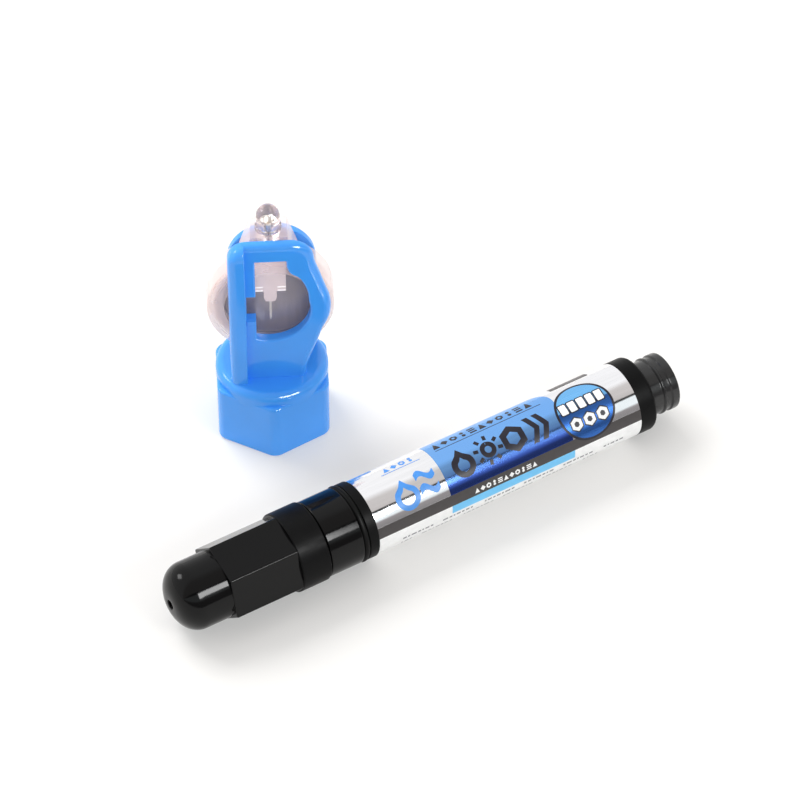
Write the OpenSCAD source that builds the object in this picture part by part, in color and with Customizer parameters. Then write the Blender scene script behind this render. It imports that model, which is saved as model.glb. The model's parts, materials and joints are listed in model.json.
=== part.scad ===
// Light-cure glue pen lying on a table, with its detached light cap standing behind it.
// Millimetres, +Z up. The pen lies along X with its closed cap at -X; everything stands on z = 0
// and the origin is under the middle of the whole set.

/* [Pen body] */
// Overall length of the capped pen, dome to tail
pen_len = 124; // [118:0.5:140]
// Outer radius of the soft squeeze tube
tube_r = 8.1; // [7.6:0.05:8.2]
// Wall of the soft squeeze tube
tube_wall = 0.9; // [0.6:0.1:1.2]
// Outer radius of the foil label sleeve
label_r = 8.4; // [8.3:0.05:8.45]
// Distance from the dome to the nozzle end of the foil label
label_x0 = 46.1; // [46.1:0.1:48]
// Distance from the dome to the tail end of the foil label
label_x1 = 112.5; // [105:0.5:113]
// Outer radius of the tail ring
tail_ring_r = 8.47; // [8.45:0.01:8.6]
// Length of the tail ring
tail_ring_len = 4.3; // [3:0.1:5]
// Radius of the tail spigot that the light cap plugs on to
spigot_r = 6.5; // [6:0.05:6.8]
// Depth of the grooves each side of the spigot's bead
spigot_groove = 0.35; // [0.3:0.05:0.45]

/* [Neck collar] */
// Outer radius of the glossy sleeve behind the cap
sleeve_r = 8.6; // [8.5:0.05:8.7]
// Distance from the dome to the sleeve's front edge
sleeve_x0 = 34.35; // [34.35:0.05:35]
// Distance from the dome to the sleeve's rear edge
sleeve_x1 = 42.45; // [41:0.05:43]
// Outer radius of the ring that meets the label
front_ring_r = 8.63; // [8.5:0.01:8.8]
// Outer radius of the rubber band between sleeve and ring
o_ring_r = 8.75; // [8.6:0.05:8.8]

/* [Cap] */
// Radius of the domed nose
nose_r = 7.57; // [7:0.01:7.8]
// Length of the rounded dome
dome_len = 5.2; // [4:0.1:6]
// Distance from the dome to the start of the hexagon
hex_x0 = 11.1; // [10:0.1:13]
// Distance from the dome to the end of the hexagon
hex_x1 = 27.2; // [24:0.1:30]
// Corner radius (centre to corner) of the hexagon
hex_corner_r = 9.17; // [9:0.01:9.2]
// Outer radius of the skirt ring, which rests on the table
skirt_r = 8.93; // [8.8:0.01:9.1]
// Distance from the dome to the end of the skirt
skirt_x1 = 34.05; // [32:0.05:34.05]
// Radius of the vent hole in the dome
vent_r = 1.05; // [0.6:0.05:1.5]
// Inner radius of the cap
cap_bore_r = 6.3; // [5.8:0.1:6.4]
// How far the cap pulls forward off the neck
cap_travel = 40; // [30:1:50]

/* [Nozzle] */
// Outer radius of the steel dispensing needle
needle_r = 0.6; // [0.4:0.05:0.8]
// Bore radius of the needle
needle_bore_r = 0.35; // [0.2:0.05:0.4]
// Distance from the dome to the needle's tip
needle_x0 = 7.6; // [7:0.1:9]

/* [Light cap holder] */
// Distance of the holder's axis from the dome, along the pen
holder_x = 50.9; // [40:0.1:60]
// Distance of the holder's axis from the pen's axis, sideways
holder_y = 44; // [35:0.1:60]
// Plan angle of the holder's plates
holder_yaw = 61.7; // [61.7:0.1:61.7]
// Across-flats size of the hexagonal base
base_af = 24.2; // [24:0.1:24.4]
// Corner rounding of the hexagonal base
base_round = 3; // [2:0.1:3.2]
// Height of the hexagonal base
base_h = 14.4; // [13:0.1:15.5]
// Radius of the round collar on the base
collar_r = 12.25; // [12.2:0.05:12.4]
// Height of the collar's top face
collar_top = 17.1; // [16.5:0.1:18]
// Radius of the socket that takes the tail spigot
socket_r = 6.56; // [6.52:0.01:6.6]
// Radius of the mouth that takes the tail ring
mouth_r = 8.7; // [8.6:0.05:9]
// Depth of the mouth
mouth_depth = 3.6; // [3:0.1:4]
// Depth of the spigot socket beyond the mouth
socket_depth = 8; // [7.5:0.1:9]
// Distance from the axis to the front plate's outer face
plate_front = 6.1; // [6:0.1:6.5]
// Distance from the axis to the plates' inner faces
plate_gap = 4.0; // [3.9:0.1:4.2]
// Height of the front plate's straight top edge
plate_top = 56.1; // [55.5:0.1:56.5]
// Height of the back plate's round top
back_top = 52.2; // [50:0.1:55]
// How far the left bar stands out from the front plate
bar_proud = 1.85; // [1:0.05:2]
// Height of the windows' and light's centre
light_z = 36.3; // [36:0.1:37]
// Radius of the round part of the window
window_r = 8.8; // [8:0.1:9]

/* [Squeeze light] */
// Outer radius of the clear light's disc
disc_r = 13.65; // [13:0.05:14]
// Half thickness of the clear light
disc_half = 3.75; // [3.6:0.05:3.8]
// Radius of the battery space inside the disc
cavity_r = 12.1; // [11.5:0.1:12.3]
// Thickness of the clear outer skin
skin_t = 0.95; // [0.8:0.05:1]
// Height of the neck's top
neck_top = 56; // [54:0.5:57]
// Half width of the neck's top
neck_half_w = 4; // [3.8:0.1:5]
// Radius of the press pad
pad_r = 9.6; // [9:0.1:9.8]
// How far the press pad travels
pad_travel = 0.45; // [0.3:0.05:0.45]
// Radius of the lamp's round body
lamp_r = 2.5; // [2.5:0.1:2.5]
// Height of the lamp's dome centre
lamp_z = 59.6; // [59:0.1:60]
// Radius of a coin cell
cell_r = 10; // [10:0.1:10]
// Thickness of a coin cell
cell_t = 1.6; // [1.6:0.1:1.6]

/* [Hidden] */
$fn = 96;

// Places in the row frame
base_corner = base_af / 2 / cos(30);
base_reach = (base_corner - base_round / cos(30)) * sin(holder_yaw) + base_round;
pen_y = (skirt_r - holder_y - base_reach) / 2;
pen_z = skirt_r;
tip_x = -pen_len / 2;
holder_pos = [tip_x + holder_x, pen_y + holder_y, 0];

// Shared small sizes
slack = 0.05;
hex_turn = 134.4;
tail_x0 = label_x1;
spigot_x0 = tail_x0 + tail_ring_len;
neck_seat_r = 6;
tube_x0 = label_x0;
tube_inner_r = tube_r - tube_wall;
collar_plug_len = 5;
tail_plug_len = 6;
hub_r = 3.2;

// Local Z runs from the dome towards the tail, starting x millimetres from the dome
module along_pen(x) {
    translate([tip_x + x, pen_y, pen_z])
        rotate([0, 90, 0])
            children();
}

// Local frame of the light cap: seen from its front, +X is to the right, +Y goes to the back
module at_holder() {
    translate(holder_pos)
        rotate([0, 0, holder_yaw - 90])
            children();
}

// Upright sheet in the light cap's frame: the child outline is drawn in X and height,
// and fills depths y0 to y1
module upright(y0, y1) {
    translate([0, y1, 0])
        rotate([90, 0, 0])
            linear_extrude(y1 - y0)
                children();
}

// Round bar in the light cap's frame whose axis crosses the plates, at height light_z
module across(y0, y1, r) {
    translate([0, y1, light_z])
        rotate([90, 0, 0])
            cylinder(h = y1 - y0, r = r);
}

// Points of a quarter ellipse from (r0, z0 + dz) to (r0 + dr, z0)
function quarter(r0, z0, dr, dz, step = 10) =
    [for (t = [0 : step : 90]) [r0 + dr * sin(t), z0 + dz * (1 - cos(t))]];

// ---- pen body ----

module squeeze_tube() {
    color([0.07, 0.07, 0.08])
        along_pen(tube_x0)
            difference() {
                cylinder(h = tail_x0 - tube_x0, r = tube_r);
                translate([0, 0, -1])
                    cylinder(h = tail_x0 - tube_x0 + 2, r = tube_inner_r);
            }
}

module label_film() {
    color([0.62, 0.74, 0.9])
        along_pen(label_x0)
            difference() {
                cylinder(h = label_x1 - label_x0, r = label_r);
                translate([0, 0, -1])
                    cylinder(h = label_x1 - label_x0 + 2, r = tube_r);
            }
}

// Tail ring, the plug that closes the tube and the spigot with its bead
module tail_plug() {
    ring_round = 0.9;
    end_x = pen_len - tail_x0;
    neck_r = spigot_r - spigot_groove;
    bead_x = spigot_x0 - tail_x0 + 3.6;
    flange_x = bead_x + 1.9;
    color([0.08, 0.08, 0.085])
        along_pen(tail_x0)
            difference() {
                union() {
                    translate([0, 0, -tail_plug_len])
                        cylinder(h = tail_plug_len, r = tube_inner_r);
                    rotate_extrude()
                        polygon(concat(
                            [[0, 0], [tail_ring_r, 0], [tail_ring_r, tail_ring_len - ring_round]],
                            [for (t = [15 : 15 : 90])
                                [tail_ring_r - ring_round * (1 - cos(t)),
                                 tail_ring_len - ring_round * (1 - sin(t))]],
                            [[neck_r, tail_ring_len], [neck_r, bead_x - 0.4]],
                            [[spigot_r, bead_x - 0.15], [spigot_r, bead_x + 0.15]],
                            [[neck_r, bead_x + 0.4], [neck_r, flange_x - 0.25]],
                            [[spigot_r, flange_x], [spigot_r, end_x - 0.4]],
                            [[spigot_r - 0.15, end_x - 0.12], [spigot_r - 0.5, end_x], [0, end_x]]));
                }
                translate([0, 0, -tail_plug_len - 1])
                    cylinder(h = tail_plug_len, r = tube_inner_r - 1.4);
            }
}

// Sleeve, band groove and front ring, with the plug that enters the tube and the cap's seat
module neck_collar() {
    groove_r = 7.6;
    groove_x1 = sleeve_x1 + 1.35;
    edge = 0.35;
    color([0.05, 0.05, 0.055])
        along_pen(0)
            difference() {
                union() {
                    rotate_extrude()
                        polygon([
                            [0, sleeve_x0], [sleeve_r - edge, sleeve_x0], [sleeve_r, sleeve_x0 + edge],
                            [sleeve_r, sleeve_x1 - edge], [sleeve_r - edge, sleeve_x1],
                            [groove_r, sleeve_x1], [groove_r, groove_x1],
                            [front_ring_r - edge / 2, groove_x1], [front_ring_r, groove_x1 + edge / 2],
                            [front_ring_r, label_x0 - 0.2], [front_ring_r - 0.2, label_x0],
                            [tube_inner_r, label_x0], [tube_inner_r, label_x0 + collar_plug_len],
                            [0, label_x0 + collar_plug_len]]);
                    translate([0, 0, sleeve_x0 - 6])
                        cylinder(h = 7, r = neck_seat_r);
                }
                translate([0, 0, sleeve_x0 - 7])
                    cylinder(h = 30, r = hub_r);
            }
}

module collar_o_ring() {
    inner = 7.6;
    bulge = o_ring_r - 0.35;
    color([0.02, 0.02, 0.02])
        along_pen(sleeve_x1)
            rotate_extrude()
                polygon(concat(
                    [[inner, 0.05], [bulge, 0.05]],
                    [for (t = [-60 : 30 : 60]) [bulge + 0.35 * cos(t), 0.675 + 0.6 * sin(t)]],
                    [[bulge, 1.3], [inner, 1.3]]));
}

// ---- nozzle ----

module nozzle_gasket() {
    color([0.85, 0.85, 0.82])
        along_pen(sleeve_x0 - 6.8)
            difference() {
                cylinder(h = 0.8, r = 4.6);
                translate([0, 0, -1])
                    cylinder(h = 3, r = hub_r);
            }
}

// Moulded hub that fills the collar's bore and grips the needle
module nozzle_hub() {
    hub_x0 = 21;
    hub_x1 = label_x0 + collar_plug_len;
    color([0.9, 0.92, 0.9])
        along_pen(0)
            difference() {
                rotate_extrude()
                    polygon([
                        [0, hub_x0], [1.5, hub_x0], [1.8, hub_x0 + 0.3], [2.5, sleeve_x0 - 7.4],
                        [hub_r, sleeve_x0 - 7.4], [hub_r, hub_x1], [0, hub_x1]]);
                translate([0, 0, hub_x0 - 1])
                    cylinder(h = 40, r = needle_r);
                translate([0, 0, sleeve_x0])
                    cylinder(h = 40, r = 1.8);
            }
}

module needle_tube() {
    color([0.75, 0.76, 0.78])
        along_pen(needle_x0)
            difference() {
                cylinder(h = sleeve_x0 - needle_x0, r = needle_r);
                translate([0, 0, -1])
                    cylinder(h = sleeve_x0, r = needle_bore_r);
            }
}

// ---- screw-off cap ----

module cap_shell() {
    flat_r = 1.6;
    root = 0.3;
    inner_x0 = 9.2;
    color([0.06, 0.06, 0.065])
        along_pen(0)
            difference() {
                union() {
                    rotate_extrude()
                        polygon(concat(
                            [[0, 0]],
                            quarter(flat_r, 0, nose_r - flat_r, dome_len),
                            [[nose_r, hex_x0 + 1], [0, hex_x0 + 1]]));
                    translate([0, 0, hex_x0])
                        intersection() {
                            rotate([0, 0, hex_turn])
                                rotate([0, 0, -90])
                                    cylinder(h = hex_x1 - hex_x0 + root, r = hex_corner_r, $fn = 6);
                            cylinder(h = 40, r1 = hex_corner_r - 0.25, r2 = hex_corner_r + 9.75);
                        }
                    rotate_extrude()
                        polygon([
                            [0, hex_x1], [skirt_r - root, hex_x1], [skirt_r, hex_x1 + root],
                            [skirt_r, skirt_x1 - 0.25], [skirt_r - 0.25, skirt_x1], [0, skirt_x1]]);
                }
                translate([0, 0, -1])
                    cylinder(h = inner_x0 + 2, r = vent_r);
                translate([0, 0, inner_x0])
                    cylinder(h = 40, r = cap_bore_r);
                translate([0, 0, 5])
                    cylinder(h = inner_x0, r = 3);
            }
}

// Soft plug deep in the cap that closes round the needle's tip
module needle_seal() {
    color([0.5, 0.5, 0.48])
        along_pen(5)
            difference() {
                union() {
                    cylinder(h = 4.2, r = 3);
                    translate([0, 0, 4.2])
                        cylinder(h = 1.2, r = 4.4);
                }
                translate([0, 0, 2.2])
                    cylinder(h = 5, r = needle_r + slack);
            }
}

// ---- light cap holder ----

// Hexagon with rounded corners, one corner towards the front
module base_outline() {
    hull()
        for (k = [0 : 5])
            rotate([0, 0, 30 + 60 * k])
                translate([base_corner - base_round / cos(30), 0])
                    circle(r = base_round, $fn = 32);
}

// Front plate: straight top, shoulder, round lobe and waist on the side away from the bar
module front_outline() {
    lobe_r = 12.5;
    polygon(concat(
        [[-8.9, collar_top - 1], [-8.9, plate_top - 4]],
        [for (t = [15 : 15 : 90]) [-4.9 - 4 * cos(t), plate_top - 4 + 4 * sin(t)]],
        [[3.4, plate_top]],
        [for (t = [75 : -15 : 0]) [4.4 + 5 * cos(t), plate_top - 5.2 + 5.2 * sin(t)]],
        [[9.7, plate_top - 6.6], [10.5, plate_top - 9.2], [11.4, light_z + 7.4]],
        [for (t = [20 : -10 : -30]) [0.3 + lobe_r * cos(t), light_z + 1 + lobe_r * sin(t)]],
        [[9.9, light_z - 9.3], [8.6, light_z - 13], [7.5, light_z - 16.8], [7.1, collar_top - 1]]));
}

// Window: a square slot over the lamp's leads that opens into a round press hole
module window_outline() {
    slot_left = -3.2;
    slot_right = 3.5;
    slot_top = plate_top - 4.6;
    hole_x = -0.4;
    hole_z = light_z + 0.8;
    notch_top = light_z + 5;
    notch_bottom = light_z - 1.6;
    polygon(concat(
        [[slot_left, slot_top], [slot_right, slot_top], [slot_right + 0.1, slot_top - 2.0],
         [slot_right + 0.6, slot_top - 3.4], [slot_right + 1.5, slot_top - 4.2],
         [slot_right + 2.5, slot_top - 4.9], [slot_right + 3.3, slot_top - 6.1],
         [slot_right + 4.0, slot_top - 7.8], [slot_right + 4.5, slot_top - 9.9]],
        [for (t = [15 : -10 : -105]) [hole_x + window_r * cos(t), hole_z + window_r * sin(t)]],
        [[slot_left, hole_z - window_r + 0.5], [slot_left, notch_bottom],
         [slot_left - 2.0, notch_bottom], [slot_left - 2.0, notch_top], [slot_left, notch_top]]));
}

// Bar down the left edge of the front plate, with the same rounded top corner
module bar_outline() {
    polygon(concat(
        [[-5.4, collar_top - 1], [-9.0, collar_top - 1]],
        [for (t = [0 : 15 : 75]) [-5.0 - 4 * cos(t), plate_top - 4.1 + 4 * sin(t)]],
        [[-5.4, plate_top - 0.2]]));
}

// Back plate: plain sheet with a round top
module back_outline() {
    half_w = 9.5;
    middle_x = 0.6;
    polygon(concat(
        [[middle_x - half_w, collar_top - 1]],
        [for (t = [180 : -10 : 0])
            [middle_x + half_w * cos(t), back_top - half_w + half_w * sin(t)]],
        [[middle_x + half_w, collar_top - 1]]));
}

module light_holder() {
    edge = 0.9;
    rib_w = 3;
    color([0.2, 0.52, 0.93])
        at_holder()
            difference() {
                union() {
                    linear_extrude(base_h)
                        base_outline();
                    rotate_extrude()
                        polygon([
                            [0, 1], [collar_r, base_h - 1], [collar_r, collar_top - edge],
                            [collar_r - 0.26, collar_top - 0.26], [collar_r - edge, collar_top],
                            [0, collar_top]]);
                    upright(-plate_front, -plate_gap)
                        front_outline();
                    upright(plate_gap, plate_front)
                        back_outline();
                    upright(-plate_front - bar_proud, -plate_gap - 0.5)
                        bar_outline();
                    // rib on which the light's disc stands
                    translate([-rib_w / 2, -plate_gap - 0.5, collar_top - 1])
                        cube([rib_w, 2 * plate_gap + 1, light_z - disc_r - slack - collar_top + 1]);
                }
                upright(-plate_front - 1, -plate_gap + 1)
                    window_outline();
                translate([0, 0, -1])
                    cylinder(h = mouth_depth + 1, r = mouth_r);
                cylinder(h = mouth_depth + socket_depth, r = socket_r);
            }
}

// ---- squeeze light ----

// Disc with a tapering neck, drawn in X and height
module light_outline() {
    polygon(concat(
        [for (t = [118 : 4 : 422]) [disc_r * cos(t), light_z + disc_r * sin(t)]],
        [[neck_half_w, neck_top], [-neck_half_w, neck_top]]));
}

// Half shell of the clear light between depths y0 and y1; the lamp's seat is cut from its neck
module light_half(y0, y1) {
    difference() {
        upright(y0, y1)
            light_outline();
        across(-disc_half + skin_t, disc_half - skin_t, cavity_r);
        translate([0, 0, lamp_z - 6.1])
            cylinder(h = 10, r = lamp_r + 0.05);
        translate([-0.9, -2.5, light_z])
            cube([1.8, 5, neck_top - light_z - 2]);
    }
}

module light_shell_front() {
    color([0.93, 0.88, 0.88, 0.5])
        at_holder()
            difference() {
                light_half(-disc_half, 0);
                across(-disc_half - 1, -disc_half + 2, pad_r + 0.3);
            }
}

module light_shell_back() {
    color([0.93, 0.88, 0.88, 0.5])
        at_holder()
            light_half(0, disc_half);
}

// Round-topped lamp body; its flange rests on the neck's top
module lamp_lens() {
    foot_z = lamp_z - 6.1;
    flange_z = neck_top - foot_z + 0.02;
    color([0.95, 0.95, 0.97, 0.4])
        at_holder()
            translate([0, 0, foot_z])
                rotate_extrude()
                    polygon(concat(
                        [[0, 0], [lamp_r, 0], [lamp_r, flange_z], [2.85, flange_z],
                         [2.85, flange_z + 1], [lamp_r, flange_z + 1], [lamp_r, 6.1]],
                        [for (t = [10 : 10 : 90]) [lamp_r * cos(t), 6.1 + lamp_r * sin(t)]]));
}

// One lead of the lamp: straight down from the lamp, joggled out to depth flat_y by the cell's face
module lead(side, flat_y, foot_z) {
    wire = 0.5;
    exit_y = 1.27;
    top_z = lamp_z - 2.4;
    bend_z = light_z + 12.3;
    translate([-wire / 2, side * exit_y - wire / 2, bend_z])
        cube([wire, wire, top_z - bend_z]);
    translate([-wire / 2, min(side * exit_y, side * flat_y) - wire / 2, bend_z])
        cube([wire, flat_y - exit_y + wire, wire]);
    translate([-wire / 2, side * flat_y - wire / 2, foot_z])
        cube([wire, wire, bend_z - foot_z + wire]);
}

module anode_lead() {
    color([0.8, 0.8, 0.78])
        at_holder() {
            lead(-1, 2.2, light_z - 5);
            translate([-0.4, -1.52, lamp_z - 2.4])
                cube([0.8, 0.9, 1.2]);
        }
}

// Rear lead, which carries the reflector cup
module cathode_lead() {
    cup_z = lamp_z - 2.4;
    color([0.8, 0.8, 0.78])
        at_holder() {
            lead(1, cell_t + 0.25, light_z - 7);
            translate([-0.6, -0.3, cup_z])
                cube([1.2, 1.82, 0.5]);
            translate([0, 0.25, cup_z + 0.5])
                rotate_extrude()
                    polygon([[0, 0], [0.6, 0], [0.95, 0.8], [0.8, 0.8], [0.5, 0.12], [0, 0.12]]);
        }
}

module lamp_die() {
    die_w = 0.36;
    color([0.9, 0.75, 0.2])
        at_holder()
            translate([-die_w / 2, 0.25 - die_w / 2, lamp_z - 2.4 + 0.62])
                cube([die_w, die_w, 0.2]);
}

// Clear block that holds the front lead in line over the cell
module lead_guide() {
    half_w = 3.4;
    color([0.9, 0.86, 0.86, 0.6])
        at_holder()
            difference() {
                upright(-2.45, -1.65)
                    polygon([
                        [-half_w, light_z + 3.2], [-1.4, light_z + 3.2], [-1.4, light_z + 1.2],
                        [-1.0, light_z + 0.2], [1.0, light_z + 0.2], [1.4, light_z + 1.2],
                        [1.4, light_z + 3.2], [half_w, light_z + 3.2], [half_w, light_z + 10],
                        [-half_w, light_z + 10]]);
                translate([-0.3, -3, light_z - 1])
                    cube([0.6, 1.07, 20]);
            }
}

// Ring that keeps both cells in the middle of the disc
module cell_ring() {
    color([0.88, 0.85, 0.85])
        at_holder()
            difference() {
                across(-cell_t, cell_t, cavity_r - 0.1);
                across(-cell_t - 1, cell_t + 1, cell_r + 0.1);
            }
}

// A coin cell lies between depths y0 and y0 + cell_t, with its can towards +Y
module cell_can(y0) {
    wall = 0.2;
    color([0.72, 0.73, 0.75])
        at_holder()
            difference() {
                across(y0, y0 + cell_t, cell_r);
                across(y0 - 1, y0 + cell_t - wall, cell_r - wall);
            }
}

module cell_lid(y0) {
    color([0.78, 0.78, 0.8])
        at_holder()
            across(y0, y0 + cell_t - 0.2, cell_r - 0.7);
}

module cell_seal(y0) {
    color([0.2, 0.2, 0.2])
        at_holder()
            difference() {
                across(y0 + 0.1, y0 + cell_t - 0.2, cell_r - 0.2);
                across(y0 - 1, y0 + cell_t + 1, cell_r - 0.7);
            }
}

module front_cell_can() cell_can(-cell_t);
module front_cell_lid() cell_lid(-cell_t);
module front_cell_seal() cell_seal(-cell_t);
module back_cell_can() cell_can(0);
module back_cell_lid() cell_lid(0);
module back_cell_seal() cell_seal(0);

// Springy middle of the front shell, pressed to switch the light on
module press_pad() {
    pad_t = 0.8;
    color([0.9, 0.85, 0.86, 0.5])
        at_holder()
            across(-disc_half, -disc_half + pad_t, pad_r);
}

squeeze_tube();
label_film();
tail_plug();
neck_collar();
collar_o_ring();
nozzle_gasket();
nozzle_hub();
needle_tube();
cap_shell();
needle_seal();
light_holder();
light_shell_front();
light_shell_back();
lamp_lens();
anode_lead();
cathode_lead();
lamp_die();
lead_guide();
cell_ring();
front_cell_can();
front_cell_lid();
front_cell_seal();
back_cell_can();
back_cell_lid();
back_cell_seal();
press_pad();
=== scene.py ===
"""Looks of a light-cure glue pen and its detached light cap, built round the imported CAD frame.

Sizes are in millimetres and become metres through MM. Pen pieces use the distance along the pen
from the tip of its dome, the radius, and the angle from +Y towards +Z. Light-cap pieces use the
cap's own frame: seen from its front, x is to the right, y goes to the back and z is up.
"""

import json
import math

import bmesh
import bpy
from mathutils import Matrix, Vector
from mathutils.geometry import delaunay_2d_cdt


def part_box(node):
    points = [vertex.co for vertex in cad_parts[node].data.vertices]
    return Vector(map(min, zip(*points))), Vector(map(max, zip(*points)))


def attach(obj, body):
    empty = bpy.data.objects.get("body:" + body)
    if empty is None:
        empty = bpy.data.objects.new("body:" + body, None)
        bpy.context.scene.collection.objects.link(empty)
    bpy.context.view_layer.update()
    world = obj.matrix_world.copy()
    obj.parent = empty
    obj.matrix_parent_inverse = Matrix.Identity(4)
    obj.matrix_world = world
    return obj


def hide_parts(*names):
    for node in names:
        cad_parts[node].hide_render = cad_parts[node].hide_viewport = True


MM = 0.001
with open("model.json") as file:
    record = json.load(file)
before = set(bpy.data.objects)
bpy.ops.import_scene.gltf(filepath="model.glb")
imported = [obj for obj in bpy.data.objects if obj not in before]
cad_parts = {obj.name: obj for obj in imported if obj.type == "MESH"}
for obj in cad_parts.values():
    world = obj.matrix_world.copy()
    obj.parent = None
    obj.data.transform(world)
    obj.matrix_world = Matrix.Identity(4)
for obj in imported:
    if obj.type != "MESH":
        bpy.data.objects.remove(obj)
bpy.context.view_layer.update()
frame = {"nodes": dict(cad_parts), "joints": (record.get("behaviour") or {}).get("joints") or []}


# ---- places from the frame ----

def pen_frame():
    """The pen's own frame: origin at the tip of the dome, on the axis, with x along the pen."""
    low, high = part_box("squeeze_tube")
    middle = (low + high) / 2
    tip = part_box("cap_shell")[0].x
    return Matrix.Translation((tip, middle.y, middle.z))


def light_cap_frame():
    """The light cap's own frame: origin under its axis, y along the press of its switch."""
    low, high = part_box("lamp_lens")
    press = next(j for j in frame["joints"] if j["name"] == "switch_press")
    to_back = Vector(press["axis"]).normalized()
    to_right = to_back.cross(Vector((0, 0, 1)))
    turn = Matrix((to_right, to_back, (0, 0, 1))).transposed().to_4x4()
    return Matrix.Translation(((low.x + high.x) / 2, (low.y + high.y) / 2, 0)) @ turn


def along(node):
    """Start and end of a pen node, in millimetres from the dome."""
    low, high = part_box(node)
    origin = PEN.translation.x
    return (low.x - origin) / MM, (high.x - origin) / MM


def radius(node):
    """Largest radius of a pen node, in millimetres."""
    low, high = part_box(node)
    return (high.z - low.z) / 2 / MM


PEN = pen_frame()
LIGHT_CAP = light_cap_frame()

LABEL_R = radius("label_film")
LABEL_X0, LABEL_X1 = along("label_film")
TAIL_X0, TAIL_X1 = LABEL_X1, along("tail_plug")[1]
SKIRT_X1 = along("cap_shell")[1]
CAP_GAP = 0.3
SLEEVE_X0 = SKIRT_X1 + CAP_GAP
O_RING_X0, O_RING_X1 = along("collar_o_ring")
O_RING_R = radius("collar_o_ring")
TUBE_INNER_R = 7.2
PEN_BORE_R = 3.2

# cap
NOSE_R = 7.57
DOME_LEN = 5.2
HEX_X0 = 11.1
HEX_X1 = 27.2
HEX_CORNER_R = 9.17
HEX_CORNER_ROUND = 0.4
HEX_TURN = 134.4
SKIRT_R = 8.93
CAP_BORE_R = 6.3
CAP_BORE_END = 9.2
VENT_R = 1.05
VENT_DEPTH = 5.0

# light cap
BASE_AF = 24.2
BASE_H = 14.4
COLLAR_R = 12.25
COLLAR_TOP = 17.1
PLATE_FRONT = -6.1
PLATE_GAP = 4.0
PLATE_TOP = 56.1
PLATE_FOOT = COLLAR_TOP - 1
BACK_TOP = 52.2
BACK_HALF = 9.5
BAR_FRONT = -7.95
LIGHT_Z = 36.3
WINDOW_R = 8.8
DISC_R = 13.65
DISC_HALF = 3.75
CAVITY_R = 12.1
SKIN = 0.95
NECK_TOP = 56.0
PAD_R = 9.6
LAMP_R = 2.5
LAMP_Z = 59.6
LAMP_FOOT = LAMP_Z - 6.1

# print: distances from the dome, angles down the label and the step between layers of ink
PANEL_U0, PANEL_U1 = 64.3, 95.3
PANEL_TOP = 50
STRIPE_TOP = 154
FIELD_TOP = 172
FIELD_END = 338
PRINT_MIDDLE = 119
INK_STEP = 0.012


# ---- outlines ----

def turned(angle):
    """Cosine and sine of an angle in degrees."""
    return math.cos(math.radians(angle)), math.sin(math.radians(angle))


def arc(x, y, size, start, end, steps=12):
    """Points of an arc; size is one radius or a pair."""
    wide, high = size if isinstance(size, tuple) else (size, size)
    angles = [start + (end - start) * i / steps for i in range(steps + 1)]
    return [(x + wide * turned(a)[0], y + high * turned(a)[1]) for a in angles]


def rounded(corners, steps=5):
    """Closed outline from (x, y, fillet) corners, with each fillet as an arc."""
    points = []
    for i, (x, y, fillet) in enumerate(corners):
        here = Vector((x, y))
        to_last = (Vector(corners[i - 1][:2]) - here).normalized()
        to_next = (Vector(corners[(i + 1) % len(corners)][:2]) - here).normalized()
        half = to_last.angle(to_next, math.pi) / 2
        nearly_straight = half > math.radians(88)
        if fillet == 0 or nearly_straight:
            points.append((x, y))
            continue
        middle = here + (to_last + to_next).normalized() * fillet / math.sin(half)
        start = here + to_last * fillet / math.tan(half) - middle
        turn = start.angle_signed(here + to_next * fillet / math.tan(half) - middle)
        for k in range(steps + 1):
            spoke = start.copy()
            spoke.rotate(Matrix.Rotation(-turn * k / steps, 2))
            points.append(tuple(middle + spoke))
    return points


def inset(outline, distance):
    """The outline moved inwards by distance; outlines run anticlockwise."""
    moved = []
    for i, point in enumerate(outline):
        here = Vector(point)
        before = (here - Vector(outline[i - 1])).normalized()
        after = (Vector(outline[(i + 1) % len(outline)]) - here).normalized()
        left = Vector((-before.y - after.y, before.x + after.x))
        moved.append(tuple(here + left * distance / (1 + before.dot(after))))
    return moved


def box_loop(u0, u1, v0, v1, corner=0):
    """Rectangle, with its corners rounded where corner isn't 0."""
    return rounded([(u0, v0, corner), (u1, v0, corner), (u1, v1, corner), (u0, v1, corner)])


# ---- meshes ----

def linked(name, data):
    """Object made from a mesh, light or camera, put in the scene."""
    obj = bpy.data.objects.new(name, data)
    bpy.context.scene.collection.objects.link(obj)
    return obj


def new_object(name, vertices, faces, place):
    """Object from points in millimetres, placed by a frame, with welded points and outward normals."""
    mesh = bpy.data.meshes.new(name)
    mesh.from_pydata([place @ (Vector(v) * MM) for v in vertices], [], faces)
    work = bmesh.new()
    work.from_mesh(mesh)
    bmesh.ops.remove_doubles(work, verts=work.verts, dist=1e-7)
    loose = [edge for edge in work.edges if not edge.link_faces]
    bmesh.ops.delete(work, geom=loose, context="EDGES")
    bmesh.ops.recalc_face_normals(work, faces=work.faces)
    work.to_mesh(mesh)
    work.free()
    return linked(name, mesh)


def grid_faces(rows, columns, closed_rows):
    """Quads between rows of points; each row is a ring, and closed_rows joins the last to the first."""
    last = rows if closed_rows else rows - 1
    faces = []
    for r in range(last):
        here, above = r * columns, (r + 1) % rows * columns
        for c in range(columns):
            after = (c + 1) % columns
            faces.append((here + c, here + after, above + after, above + c))
    return faces


def circle_angles(count):
    """Even angles round a circle."""
    return [i * 360 / count for i in range(count)]


def pen_spin(name, rings, angles=None):
    """Closed piece round the pen's axis from (distance, radius) rings.

    A radius may be a function of the angle.
    """
    angles = angles or circle_angles(128)
    vertices = []
    for x, r in rings:
        for angle in angles:
            size = r(angle) if callable(r) else r
            cos, sin = turned(angle)
            vertices.append((x, size * cos, size * sin))
    return new_object(name, vertices, grid_faces(len(rings), len(angles), True), PEN)


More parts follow.
